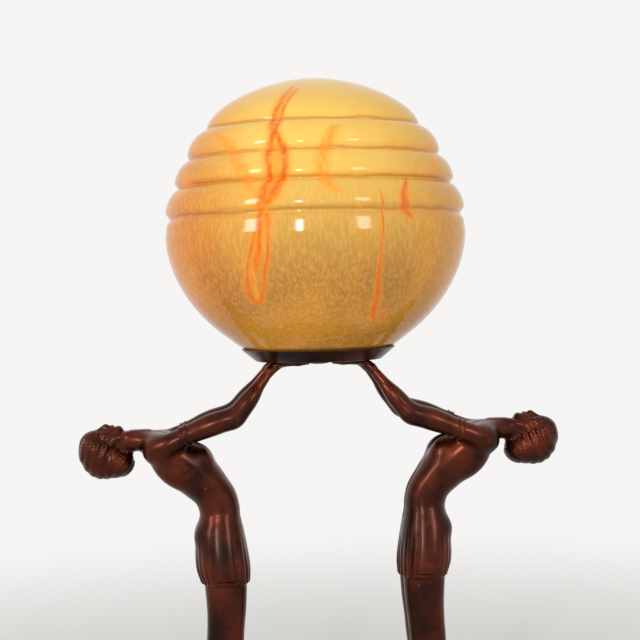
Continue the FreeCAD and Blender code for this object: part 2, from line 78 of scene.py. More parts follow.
def make_camera():
    """The photograph's view: eye level with the shade, slightly to the lamp's left."""
    data = bpy.data.cameras.new("camera")
    data.sensor_width = 36.0
    data.lens = data.sensor_width * FOCAL_PIXELS / IMAGE_PIXELS
    data.clip_start = 0.05
    data.clip_end = 50.0
    camera = new_object("camera", data)
    camera.location = (-CAMERA_DISTANCE * math.sin(CAMERA_YAW),
                       -CAMERA_DISTANCE * math.cos(CAMERA_YAW), CAMERA_HEIGHT)
    aside = math.atan((IMAGE_PIXELS / 2 - AXIS_PIXEL) / FOCAL_PIXELS)
    turn = (Matrix.Rotation(-CAMERA_YAW - aside, 4, "Z")
            @ Matrix.Rotation(math.radians(90) + CAMERA_PITCH, 4, "X")
            @ Matrix.Rotation(-CAMERA_ROLL, 4, "Z"))
    camera.rotation_euler = turn.to_euler()
    bpy.context.scene.camera = camera


# ---------------------------------------------------------------- mesh helpers
def add_piece(name, points, faces, material, body, node):
    """A smooth-shaded mesh that rides on a body and stands for the given frame node."""
    mesh = bpy.data.meshes.new(name)
    mesh.from_pydata(points, [], faces)
    mesh.update()
    mesh.shade_smooth()
    mesh.materials.append(material)
    piece = new_object(name, mesh)
    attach(piece, body)
    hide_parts(node)


def add_bronze(name, points, faces, bronze, node):
    """A bronze piece of the lamp itself, which stands for the given frame node."""
    add_piece(name, points, faces, bronze, "lamp", node)


def smooth_rows(rows, per):
    """Rows of numbers along a smooth curve through the given rows, per steps to each gap."""
    rows = np.array(rows, float)
    last = len(rows) - 1
    ends = np.vstack([2 * rows[0] - rows[1], rows, 2 * rows[-1] - rows[-2]])
    t = np.linspace(0, last, last * per + 1)
    i = np.minimum(t.astype(int), last - 1)
    f = (t - i)[:, None]
    a, b, c, d = ends[i], ends[i + 1], ends[i + 2], ends[i + 3]
    return 0.5 * (2 * b + (c - a) * f + (2 * a - 5 * b + 4 * c - d) * f ** 2
                  + (3 * b - a - 3 * c + d) * f ** 3)


def soften(profile, step, width):
    """A profile in even steps, with its corners rounded over about the given width."""
    profile = np.array(profile, float)
    gaps = np.hypot(*np.diff(profile, axis=0).T)
    along = np.concatenate([[0], np.cumsum(gaps)])
    places = np.linspace(0, along[-1], max(int(along[-1] / step), 2))
    fine = np.stack([np.interp(places, along, profile[:, k]) for k in (0, 1)], axis=1)
    reach = max(int(3 * width / step), 1)
    weight = np.exp(-0.5 * (np.arange(-reach, reach + 1) * step / width) ** 2)
    weight /= weight.sum()
    head = 2 * fine[0] - fine[1:reach + 1][::-1]
    tail = 2 * fine[-1] - fine[-reach - 1:-1][::-1]
    padded = np.vstack([head, fine, tail])
    return np.stack([np.convolve(padded[:, k], weight, "valid") for k in (0, 1)], axis=1)


def between(lower, upper, count):
    """The quads between two rings of a mesh, each of so many points."""
    return [(lower * count + k, lower * count + (k + 1) % count,
             upper * count + (k + 1) % count, upper * count + k) for k in range(count)]


def turned(profile, level, segments, closed=True):
    """Points and faces of a profile of (radius, height) turned about the lamp's axis, in metres."""
    profile = np.array(profile, float)
    angles = np.arange(segments) * (2 * math.pi / segments)
    ring = np.stack([np.cos(angles), np.sin(angles)], axis=1)
    points = np.concatenate([np.column_stack([r * ring, np.full(segments, level + z)])
                             for r, z in profile]) * MM
    rows = len(profile)
    faces = [quad for i in range(rows if closed else rows - 1)
             for quad in between(i, (i + 1) % rows, segments)]
    return points, faces


def superellipse(radius, height, power, count, start=0.0, end=90.0):
    """Points (r, z) along a superellipse quarter, from its widest point to its top."""
    points = []
    for k in range(count + 1):
        a = math.radians(start + (end - start) * k / count)
        points.append((radius * max(math.cos(a), 0.0) ** (2 / power),
                       height * math.sin(a) ** (2 / power)))
    return points


# ---------------------------------------------------------------- modelling in a distance field
FAR = 40.0


def smooth_min(a, b, k):
    h = np.maximum(k - np.abs(a - b), 0) / k
    return np.minimum(a, b) - h * h * (k / 4)


class Clay:
    """A block of voxels, in figure millimetres, in which forms are pressed together."""

    def __init__(self, low, high, step):
        self.step = step
        self.first = np.floor(np.array(low) / step).astype(int)
        self.last = np.ceil(np.array(high) / step).astype(int)
        self.field = np.full(tuple(self.last - self.first + 1), FAR, np.float32)

    def window(self, low, high):
        """The slices and coordinates of the voxels between two corners, or None."""
        a = np.maximum(np.floor(np.array(low) / self.step).astype(int), self.first)
        b = np.minimum(np.ceil(np.array(high) / self.step).astype(int), self.last)
        if np.any(b < a):
            return None
        cut = tuple(slice(i - f, j - f + 1) for i, j, f in zip(a, b, self.first))
        x, y, z = (np.arange(i, j + 1, dtype=np.float32) * self.step for i, j in zip(a, b))
        return cut, x[:, None, None], y[None, :, None], z[None, None, :]

    def press(self, form, k, carve=False):
        """Joins a form to the clay, or carves it out, with a seam about k wide."""
        shape, low, high = form
        found = self.window(np.array(low) - k - 1.5, np.array(high) + k + 1.5)
        if found is None:
            return
        cut, x, y, z = found
        old = self.field[cut]
        new = shape(x, y, z).astype(np.float32)
        self.field[cut] = -smooth_min(-old, new, k) if carve else smooth_min(old, new, k)


def ball(centre, radii, tilt=0.0):
    """An ellipsoid, turned by tilt degrees in the figure's plane of symmetry."""
    radii = (radii,) * 3 if isinstance(radii, (int, float)) else radii
    c, s = math.cos(math.radians(tilt)), math.sin(math.radians(tilt))

    def shape(x, y, z):
        dx, dz = x - centre[0], z - centre[2]
        u, w = (dx * c + dz * s) / radii[0], (dz * c - dx * s) / radii[2]
        v = (y - centre[1]) / radii[1]
        near = np.sqrt(u * u + v * v + w * w)
        steep = np.sqrt((u / radii[0]) ** 2 + (v / radii[1]) ** 2 + (w / radii[2]) ** 2)
        return near * (near - 1) / np.maximum(steep, 1e-4)

    reach = max(radii)
    return shape, [p - reach for p in centre], [p + reach for p in centre]


def rod(*stops):
    """A chain of tapering rods through stops of (x, y, z, radius)."""
    stops = np.array(stops, float)

    def shape(x, y, z):
        best = None
        for a, b in zip(stops[:-1], stops[1:]):
            way = b[:3] - a[:3]
            share = ((x - a[0]) * way[0] + (y - a[1]) * way[1] + (z - a[2]) * way[2]) / (way @ way)
            share = np.clip(share, 0, 1)
            gap = np.sqrt((x - a[0] - share * way[0]) ** 2 + (y - a[1] - share * way[1]) ** 2
                          + (z - a[2] - share * way[2]) ** 2)
            gap = gap - (a[3] + share * (b[3] - a[3]))
            best = gap if best is None else np.minimum(best, gap)
        return best

    reach = stops[:, 3].max()
    return shape, stops[:, :3].min(0) - reach, stops[:, :3].max(0) + reach


class Sections:
    """A limb or trunk given by stations (out, up, half depth, half width, lean in degrees).

    Its centre line lies in a plane parallel to the plane of symmetry, so where a point lies
    along it depends only on the point's place in that plane."""

    def __init__(self, stations, side=0.0, power=2.2, per=16, fold=None):
        rows = smooth_rows(stations, per)
        lean = np.radians(rows[:, 4])
        self.centre = rows[:, :2]
        self.depth, self.width = rows[:, 2], rows[:, 3]
        self.across = np.stack([np.cos(lean), -np.sin(lean)], axis=1)
        self.along = np.stack([np.sin(lean), np.cos(lean)], axis=1)
        self.side, self.power, self.fold = side, power, fold

    def form(self):
        front = self.centre - self.across * self.depth[:, None]
        back = self.centre + self.across * self.depth[:, None]
        both = np.vstack([front, back])
        wide = self.width.max()
        low = (both[:, 0].min() - 2, self.side - wide - 2, both[:, 1].min() - 2)
        high = (both[:, 0].max() + 2, self.side + wide + 2, both[:, 1].max() + 2)
        return self.shape, low, high

    def place(self, x, z):
        """For points in the plane: the share along the limb, and how far past its ends."""
        dx, dz = x[..., None] - self.centre[:, 0], z[..., None] - self.centre[:, 1]
        ahead = dx * self.along[:, 0] + dz * self.along[:, 1]
        off = dx * self.across[:, 0] + dz * self.across[:, 1]
        cost = np.abs(ahead) + 0.3 * np.maximum(np.abs(off) - 1.25 * self.depth, 0)
        best = cost.argmin(-1)
        here = np.take_along_axis(ahead, best[..., None], -1)[..., 0]
        other = np.clip(best + np.where(here > 0, 1, -1), 0, len(self.depth) - 1)
        there = np.take_along_axis(ahead, other[..., None], -1)[..., 0]
        gap = here - there
        apart = np.abs(gap) > 1e-6
        share = np.clip(np.where(apart, here / np.where(apart, gap, 1), 0), 0, 1)
        at = best + (other - best) * share
        inside = (other != best) & (here * there <= 0)
        return at, np.where(inside, 0.0, np.abs(here))

    def shape(self, x, y, z):
        flat_x, flat_z = np.broadcast_arrays(x[:, 0, :], z[:, 0, :])
        at, past = self.place(flat_x, flat_z)
        pick = lambda values: np.interp(at, np.arange(len(values)), values)[:, None, :]
        depth, width = pick(self.depth), pick(self.width)
        u = ((x - pick(self.centre[:, 0])) * pick(self.across[:, 0])
             + (z - pick(self.centre[:, 1])) * pick(self.across[:, 1]))
        v = y - self.side
        power = self.power
        rho = (np.abs(u / depth) ** power + np.abs(v / width) ** power) ** (1 / power)
        rho = np.maximum(rho, 1e-3)
        reach = np.sqrt(u * u + v * v)
        gap = reach * (1 - 1 / rho)
        if self.fold:
            gap = gap + self.fold(u / depth, v / width, at[:, None, :] / (len(self.depth) - 1))
        past = past[:, None, :]
        beyond = np.hypot(np.maximum(gap, 0), past) + np.minimum(gap, 0) * (past < 0.01)
        return np.where(past > 0, beyond, gap)


def mesh_of(blocks, step, rounds):
    """Points and quads of the surface in some blocks of clay, evened out a little."""
    grid = openvdb.FloatGrid(FAR)
    for block in blocks:
        first = tuple(int(i) for i in block.first)
        grid.copyFromArray(np.ascontiguousarray(block.field), ijk=first)
    points, quads = grid.convertToQuads(isovalue=0.0)
    points, quads = points.astype(float) * step, quads.astype(int)
    starts, ends = quads.ravel(), np.roll(quads, -1, axis=1).ravel()
    count = np.maximum(np.bincount(starts, minlength=len(points)), 1)
    for k in range(rounds):
        pull = 0.5 if k % 2 == 0 else -0.52
        mean = np.stack([np.bincount(starts, points[ends, axis], len(points)) / count
                         for axis in range(3)], axis=1)
        points = points + pull * (mean - points)
    corners = points[quads]
    volume = np.einsum("ij,ij->i", corners[:, 0], np.cross(corners[:, 1], corners[:, 2])).sum()
    return points, quads if volume > 0 else quads[:, ::-1]


def in_place(points, turned_round):
    """Figure millimetres to lamp metres, for the right figure or, turned round, the left one."""
    places = (points + [STANCE, 0.0, PLINTH_TOP]) * MM
    return places * [-1, -1, 1] if turned_round else places


# ---------------------------------------------------------------- the figures
# Figure millimetres: x outward from the leg line, y to the far side, z above the plinth.
STANCE = 86.0
LEG_SPACING = 22.6
LEFT_ARM_RAISE = 2.2
PALM_HEIGHT = 359.6
ARM_JOINT = 3
VOXEL = 0.6
FINE_VOXEL = 0.45

LEG = [(2.0, 25.0, 6.6, 5.4, 22), (4.2, 34.0, 6.3, 5.6, 5), (4.8, 46.0, 7.6, 6.8, 0),
       (4.6, 66.0, 11.2, 9.2, 0), (2.6, 84.0, 10.4, 8.8, 0), (1.0, 95.0, 11.2, 9.0, 0),
       (0.2, 107.0, 12.6, 10.0, 0), (-0.6, 121.0, 15.1, 11.5, 0), (-1.8, 139.0, 15.5, 12.6, 0),
       (-2.7, 156.0, 16.4, 13.6, 0), (-2.5, 178.0, 17.6, 14.2, 0), (-1.0, 196.0, 17.0, 13.0, 0)]
SKIRT = [(-2.6, 176.0, 20.8, 29.0, 0), (-1.0, 188.5, 22.8, 29.8, 0), (0.3, 205.3, 21.8, 27.4, 1),
         (1.2, 222.2, 19.4, 23.2, 3), (1.0, 231.0, 15.8, 19.2, 5)]
TORSO = [(1.2, 214.0, 17.6, 21.4, 2), (1.0, 228.0, 17.6, 20.8, 5), (0.9, 237.0, 17.3, 19.6, 9),
         (3.9, 247.0, 17.6, 19.9, 16), (12.0, 257.0, 19.0, 22.2, 22), (21.0, 267.0, 20.6, 24.8, 27),
         (31.0, 277.5, 20.6, 26.6, 33), (42.5, 287.0, 18.2, 27.0, 41),
         (52.5, 293.0, 13.9, 23.0, 50), (60.0, 295.6, 10.4, 14.0, 64),
         (67.0, 296.6, 8.9, 9.2, 80), (90.0, 296.0, 8.4, 8.6, 92)]
SPINE = [(18.7, 226.4), (20.6, 238.0), (22.6, 244.0), (29.8, 249.8), (40.0, 257.3), (49.0, 265.8),
         (56.7, 274.7), (61.6, 282.1)]
ARM = [(53.0, 17.0, 289.0, 9.6), (44.0, 24.5, 292.5, 9.4), (31.0, 26.7, 298.1, 8.3),
       (26.6, 27.4, 300.0, 8.3), (22.0, 27.9, 301.8, 8.3), (10.0, 28.6, 306.2, 8.1),
       (-5.0, 29.2, 311.2, 7.7), (-12.0, 29.2, 314.4, 7.6), (-18.0, 28.6, 320.0, 7.0),
       (-29.0, 26.2, 333.5, 5.5), (-40.0, 23.2, 347.6, 4.1), (-45.0, 21.6, 353.6, 3.3),
       (-50.0, 20.2, 357.0, 2.4)]
PLEATS = 28
PLEAT_DEPTH = 1.25
PANEL_HALF = 0.36
HEM_NOTCH = 0.09

HEAD_OUT, HEAD_UP = 96.6, 293.4
HEAD_TURN = -12.0
HEAD_SCALE = 1.06
WAVE_PERIOD, WAVE_RISE = 6.4, 2.6
STRAND_PERIOD, STRAND_RISE = 3.3, 0.22
HAIR_SINK = 0.9


def pleats(u, v, at):
    """How far the skirt's surface lies in: knife pleats that open to the hem, plain side panels."""
    around = np.arctan2(v, u)
    saw = (around * PLEATS / (2 * math.pi)) % 1.0
    ridge = np.where(saw < 0.75, saw / 0.75, (1 - saw) / 0.25)
    ridge = ridge * ridge * (3 - 2 * ridge)
    plain = np.clip((PANEL_HALF + 0.05 - np.abs(u)) / 0.1, 0, 1)
    open_up = np.clip((0.66 - at) / 0.5, 0, 1)
    step = 1.3 * plain * np.clip((HEM_NOTCH - at) / 0.02, 0, 1)
    return PLEAT_DEPTH * open_up * (1 - ridge) * (1 - plain) + step


def arm_stops(side):
    """The arm's path as (x, y, z, radius) rows. The figure's left arm is raised a little."""
    lift = LEFT_ARM_RAISE if side > 0 else 0.0
    last = len(ARM) - 1
    rows = []
    for index, (out, y, up, radius) in enumerate(ARM):
        share = index / ARM_JOINT if index < ARM_JOINT else (last - index) / (last - ARM_JOINT)
        rows.append((out, side * y, up + lift * share, radius))
    return rows


def model_legs(press):
    for side in (-1, 1):
        y = side * LEG_SPACING / 2
        press(Sections(LEG, y, 2.1).form(), 1.0)
        press(rod((3.6, y, 29, 5.6), (-1.0, y, 19.0, 5.3), (-7.0, y, 12.6, 4.4),
                  (-12.0, y, 9.6, 3.0)), 3.0)
        press(ball((8.0, y, 24.5), (4.4, 4.2, 6.0), 20), 4.0)
        press(rod((8.2, y, 30.0, 2.0), (9.4, y, 44.0, 2.4)), 3.5)
        for across in (-5.0, 5.0):
            press(ball((3.4, y + across, 32.0 + across * side * 0.3), 2.3), 3.0)
        for toe in range(5):
            place = y + side * (toe - 2) * 1.75
            tip = -17.6 + 0.9 * abs(toe - 0.5)
            press(rod((-10.0, place, 9.4, 1.5), (tip, place, 7.4, 1.15 - 0.05 * toe)), 0.7)
        press(ball((-7.6, y, 96.0), (3.0, 5.0, 6.2)), 5.0)
        press(ball((-8.0, y, 84.5), (2.4, 2.8, 4.6)), 5.0)
        for across in (-1, 1):
            press(ball((9.0, y + across * 3.4, 68.0), (6.6, 5.2, 15.0), -3), 5.0)
            press(ball((-8.0, y + across * 4.6, 110.0), (5.2, 4.6, 13.0), 4), 6.0)
    block = ball((-4.4, 0.0, 0.0), (22.0, 21.0, 60.0))
    top = lambda x, y, z: smooth_block(block[0](x, y, z), np.abs(z - 2.5) - 3.1)
    press((top, (-27, -22, -1), (18, 22, 7)), 1.6)


def smooth_block(inside, slab):
    """The part of a form between two levels, with a rounded rim."""
    return -smooth_min(-inside, -slab, 1.8)


def model_skirt(press):
    press(Sections(SKIRT, 0.0, 2.3, fold=pleats).form(), 1.2)
    hollow = [(out, up - 3.0 if k == 0 else up - 14.0, depth - 2.4, width - 2.2, lean)
              for k, (out, up, depth, width, lean) in enumerate(SKIRT[:2])]
    under = Sections(hollow, 0.0, 2.3)
    legs = [Sections(LEG, side * LEG_SPACING / 2, 2.1) for side in (-1, 1)]

    def shape(x, y, z):
        gap = under.shape(x, y, z)
        for leg in legs:
            gap = np.maximum(gap, 0.4 - leg.shape(x, y, z))
        return gap

    form = under.form()
    press((shape, form[1], form[2]), 0.8, carve=True)


def model_torso(press):
    press(Sections(TORSO, 0.0, 2.25).form(), 3.0)
    for side in (-1, 1):
        press(ball((15.6, side * 10.4, 281.0), (10.4, 9.0, 8.4), 48), 7.0)
        press(ball((41.5, side * 12.6, 268.8), (12.0, 7.6, 6.4), 42), 9.0)
        press(ball((50.6, side * 20.2, 290.4), (10.2, 9.4, 9.8)), 8.0)
        press(rod((46.0, side * 20.0, 296.0, 5.6), (60.0, side * 10.0, 297.0, 5.0),
                  (72.0, side * 5.0, 296.5, 4.6)), 6.0)
        press(rod((51.0, side * 3.4, 301.2, 1.1), (49.5, side * 12.0, 301.0, 1.3),
                  (48.0, side * 20.0, 299.6, 1.4)), 3.0)
        press(rod((58.0, side * 2.2, 303.4, 1.5), (72.0, side * 4.6, 303.0, 1.9),
                  (84.0, side * 8.2, 300.0, 2.2)), 3.0)
        stub = smooth_rows(arm_stops(side)[:ARM_JOINT + 2], 8)[:ARM_JOINT * 8 + 3]
        press(rod(*stub), 4.5)
        press(ball((12.0, side * 8.6, 215.0), (9.0, 8.0, 8.0), 0), 7.0)
    press(rod(*[(x + 1.0, 0.0, z - 1.4, 1.3) for x, z in SPINE]), 6.0, carve=True)
    press(rod((-18.4, 0.0, 226.0, 0.7), (-15.6, 0.0, 247.0, 0.9), (-3.4, 0.0, 271.0, 1.1)),
          5.0, carve=True)
    press(rod((6.0, 0.0, 286.4, 1.6), (20.0, 0.0, 297.4, 1.2)), 6.0, carve=True)
    press(ball((-17.2, 0.0, 233.5), (1.1, 0.8, 1.3)), 1.6, carve=True)


class Head:
    """The head's own axes: crownward, sideways and towards the face, in millimetres."""
    c, s = math.cos(math.radians(HEAD_TURN)), math.sin(math.radians(HEAD_TURN))

    def local(self, x, z):
        dx, dz = (x - HEAD_OUT) / HEAD_SCALE, (z - HEAD_UP) / HEAD_SCALE
        return dx * self.c + dz * self.s, dz * self.c - dx * self.s

    def form(self, form):
        """A form in the head's axes as one in the figure's."""
        shape, low, high = form
        corners = np.array([(a * self.c - b * self.s, a * self.s + b * self.c)
                            for a in (low[0], high[0]) for b in (low[2], high[2])])
        corners = corners * HEAD_SCALE + [HEAD_OUT, HEAD_UP]

        def moved(x, y, z):
            crown, face = self.local(x, z)
            return shape(crown, y / HEAD_SCALE, face) * HEAD_SCALE

        return (moved, (corners[:, 0].min(), low[1] * HEAD_SCALE, corners[:, 1].min()),
                (corners[:, 0].max(), high[1] * HEAD_SCALE, corners[:, 1].max()))


def hair_wave(crown, y, face):
    """How far the hair stands proud: waves and strands, boldest beside the hairline."""
    behind = np.where(crown > 0, 0.58, 0.34) * crown + 2.6 - face
    bold = np.clip(1.2 - behind / 15.0, 0.35, 1.0)
    phase = (0.85 * crown + 0.52 * face + 1.5 * np.sin(0.30 * y)) * (2 * math.pi / WAVE_PERIOD)
    wave = 0.5 + 0.5 * np.sin(phase)
    strand = (0.85 * face - 0.52 * crown + 0.45 * np.abs(y) + 1.0 * np.sin(phase + 0.8))
    strands = STRAND_RISE * np.sin(strand * (2 * math.pi / STRAND_PERIOD))
    return bold * (WAVE_RISE * wave ** 1.3 + strands) - HAIR_SINK


def model_head(press_placed):
    head = Head()
    press = lambda form, k, carve=False: press_placed(head.form(form), k, carve)
    press(ball((4.0, 0.0, -2.5), (13.5, 12.0, 15.0)), 3.0)
    press(ball((7.5, 0.0, 5.6), (8.4, 9.6, 6.8)), 4.0)
    press(ball((-6.0, 0.0, 3.6), (11.0, 9.0, 8.4)), 4.0)
    press(ball((-15.2, 0.0, 9.2), (2.9, 3.5, 2.9)), 3.0)
    press(ball((-10.2, 0.0, 9.6), (3.8, 4.8, 3.6)), 2.5)
    for side in (-1, 1):
        press(rod((-4.5, side * 9.0, -1.5, 2.8), (-10.0, side * 7.4, 3.0, 2.6),
                  (-15.0, side * 2.8, 8.4, 2.5)), 3.0)
        press(ball((-3.4, side * 6.0, 7.6), (3.2, 3.2, 3.0)), 2.5)
        press(ball((0.2, side * 4.8, 13.6), (2.5, 3.4, 2.4)), 2.0, carve=True)
    for side in (-1, 1):
        press(ball((0.0, side * 4.7, 9.7), (2.5, 2.8, 2.5)), 0.5)
        press(rod((2.6, side * 2.0, 11.9, 0.8), (3.6, side * 4.8, 11.9, 0.9),
                  (2.4, side * 8.0, 9.4, 0.7)), 1.8)
        press(rod((-0.5, side * 2.6, 11.6, 0.2), (-1.1, side * 4.7, 12.2, 0.25),
                  (-0.5, side * 6.9, 11.2, 0.2)), 0.4, carve=True)
        press(rod((1.3, side * 2.9, 11.5, 0.15), (1.7, side * 4.8, 11.9, 0.2),
                  (1.1, side * 6.9, 10.9, 0.15)), 0.5, carve=True)
    press(ball((-2.6, 0.0, 12.0), (6.2, 2.0, 2.7), -20), 1.8)
    press(ball((-5.6, 0.0, 13.6), (2.3, 1.9, 2.2)), 1.4)
    for side in (-1, 1):
        press(ball((-6.5, side * 1.9, 12.6), (1.4, 1.2, 1.6)), 1.1)
        press(ball((-7.9, side * 0.95, 13.4), (0.5, 0.45, 0.8)), 0.4, carve=True)
        press(rod((-9.8, 0.0, 13.2, 0.75), (-10.6, side * 3.2, 11.9, 0.35)), 0.7)
        press(rod((-11.8, 0.0, 12.9, 0.95), (-11.2, side * 3.0, 11.9, 0.35)), 0.7)
        press(rod((-10.75, 0.0, 13.9, 0.2), (-10.9, side * 3.4, 12.5, 0.15)), 0.35, carve=True)
    press(ball((-13.2, 0.0, 13.0), (0.9, 2.4, 0.9)), 1.2, carve=True)
    shell = ball((4.0, 0.0, -4.6), (16.3, 14.6, 19.6))
    nape = ball((1.0, 0.0, -12.2), (15.4, 14.2, 14.4))

    def hair(crown, y, face):
        proud = hair_wave(crown, y, face)
        outside = smooth_min(shell[0](crown, y, face), nape[0](crown, y, face), 4.0) - 0.6 * proud
        line = (face - 2.6 - np.where(crown > 0, 0.58, 0.34) * crown
                + 0.5 * np.sin(1.1 * y + 0.6 * crown)) * 0.85
        return -smooth_min(-outside, -line, 1.2)

    press((hair, (-15, -17, -29), (22, 17, 15)), 0.6)
    roll = ball((-10.2, 0.0, -16.8), (11.2, 13.4, 10.8), 8)

    def rolled(crown, y, face):
        sweep = 0.8 * crown - 0.6 * face + 0.25 * np.abs(y)
        strand = np.sin((sweep + 0.7 * np.sin(0.55 * y + 0.3 * crown)) * (2 * math.pi / 2.1))
        lock = np.sin((0.6 * crown + 0.8 * face + 0.3 * y) * (2 * math.pi / 6.0))
        return roll[0](crown, y, face) - 0.2 * strand - 0.2 * lock

    press((rolled, (-25, -15, -30), (3, 15, -3)), 6.5)


def figure_points():
    """The body casting of one figure, in figure millimetres."""
    blocks = [Clay((-32, -30, -1), (30, 30, 205), VOXEL),
              Clay((-32, -42, 205), (72, 42, 320), VOXEL),
              Clay((72, -24, 255), (124, 24, 322), VOXEL)]
    blocks[1].last[0] = blocks[2].first[0] - 1
    blocks[1].field = blocks[1].field[:blocks[1].last[0] - blocks[1].first[0] + 1]
    blocks[0].last[2] = blocks[1].first[2] - 1
    blocks[0].field = blocks[0].field[:, :, :blocks[0].last[2] - blocks[0].first[2] + 1]
    below_ground = (lambda x, y, z: z + 0 * x + 0 * y, (-40, -40, -2), (40, 40, 0.2))
    for clay in blocks:
        for model in (model_legs, model_skirt, model_torso, model_head):
            model(clay.press)
        clay.press(below_ground, 0.01, carve=True)
    return mesh_of(blocks, VOXEL, 4)


def model_arm(side):
    """One arm from the joint under its armlet to its open hand, in figure millimetres."""
    near, far = (8, 40) if side > 0 else (-40, -8)
    clay = Clay((-80, near, 286), (34, far, 364), FINE_VOXEL)
    press = clay.press
    stops = smooth_rows(arm_stops(side), 10)[ARM_JOINT * 10 - 3:]
    press(rod(*stops), 0.5)
    lift = LEFT_ARM_RAISE if side > 0 else 0.0
    press(ball((-13.4, side * 29.4, 313.0 + lift * 0.5), (6.6, 6.4, 5.8), -36), 8.0)
    press(ball((-23.0, side * 28.0, 325.4 + lift * 0.4), (12.5, 6.2, 5.4), -50), 8.0)
    press(ball((3.0, side * 28.4, 310.4 + lift * 0.6), (16.0, 7.2, 6.8), -18), 8.0)
    level = PALM_HEIGHT - 2.0
    press(rod((-44.0, side * 21.9, 352.6, 3.6), (-49.0, side * 20.6, level - 1.6, 3.4)), 3.0)
    press(ball((-54.5, side * 20.0, level - 0.2), (9.6, 5.9, 2.3), -4), 2.5)
    fingers = [((-60.0, 23.4), (-66.5, 23.6), (-72.4, 22.9), 1.55),
               ((-61.0, 20.9), (-68.5, 20.8), (-75.6, 20.2), 1.65),
               ((-60.6, 18.3), (-68.0, 17.9), (-74.2, 17.5), 1.55),
               ((-59.4, 15.9), (-65.0, 15.2), (-69.6, 14.9), 1.35)]
    for base, middle, tip, radius in fingers:
        press(rod((base[0], side * base[1], level, radius + 0.15),
                  (middle[0], side * middle[1], level - 0.1, radius),
                  (tip[0], side * tip[1], level + 0.3, radius * 0.72)), 0.7)
        press(ball((middle[0], side * middle[1], level - 0.2), radius * 1.06), 0.8)
    press(rod((-49.0, side * 23.6, level - 0.4, 1.9), (-54.5, side * 27.2, level, 1.7),
              (-61.0, side * 28.4, level + 0.3, 1.15)), 1.4)
    press((lambda x, y, z: PALM_HEIGHT - z + 0 * x + 0 * y, (-80, -40, PALM_HEIGHT - 0.5),
           (34, 40, 364)), 0.01, carve=True)
    return mesh_of([clay], FINE_VOXEL, 4)


def armlet_points(side):
    """The band over the joint: two fine beads and a notched strip, in figure millimetres."""
    stops = np.array(arm_stops(side))
    centre, radius = stops[ARM_JOINT, :3], stops[ARM_JOINT, 3]
    way = Vector(stops[ARM_JOINT + 1, :3] - stops[ARM_JOINT - 1, :3]).normalized()
    turn = np.array(way.to_track_quat("Z", "Y").to_matrix())
    profile = [(radius - 0.6, -3.2)]
    for middle in (-2.4, 2.4):
        for k in range(9):
            a = math.pi * (k / 8)
            profile.append((radius + 0.3 + 0.6 * math.sin(a), middle - 0.6 * math.cos(a)))
    profile[10:10] = [(radius + 0.35, level) for level in (-1.2, -0.6, 0.0, 0.6, 1.2)]
    profile.append((radius - 0.6, 3.2))
    points, faces = turned(profile, 0.0, 96)
    points = points / MM
    away = np.hypot(points[:, 0], points[:, 1])
    around = np.arctan2(points[:, 1], points[:, 0])
    middle = (np.abs(points[:, 2]) < 1.0) & (away > radius)
    points[:, :2] *= (1 - 0.012 * (0.5 - 0.5 * np.cos(around * 24)) * middle)[:, None]
    return points @ turn.T + centre, faces


def make_figures(bronze):
    body, body_faces = figure_points()
    for turned_round, name in ((False, "right"), (True, "left")):
        add_bronze(name + "_figure", in_place(body, turned_round), body_faces.tolist(), bronze,
                   name + "_figure_body")
    bands, band_faces = [], []
    for side, near in ((-1, "front"), (1, "back")):
        arm, faces = model_arm(side)
        band, quads = armlet_points(side)
        for turned_round, name in ((False, "right"), (True, "left")):
            place = near if not turned_round else {"front": "back", "back": "front"}[near]
            add_bronze(name + "_" + place + "_arm", in_place(arm, turned_round), faces.tolist(),
                       bronze, name + "_figure_" + place + "_arm")
            start = sum(len(b) for b in bands)
            bands.append(in_place(band, turned_round))
            band_faces += [tuple(start + i for i in quad) for quad in quads]
    add_bronze("armlet_bands", np.concatenate(bands), band_faces, bronze, "armlets")


# ---------------------------------------------------------------- glass shade
SHADE_WALL = 3.0
BELLY_RADIUS = 125.7
BELLY_HEIGHT = 103.5
RING_RADII = (105.6, 116.8, 125.2)
GROOVE_RADII = (89.0, 103.8, 113.2, 121.2)
GROOVE_HEIGHTS = (191.5, 166.7, 143.3, 118.3)
SHADE_TOP = 234.5
SHADE_FOOT = [(67.0, 12.0), (61.4, 8.8), (56.5, 5.2), (53.2, 2.2)]
BOWL_FALL = 111.0


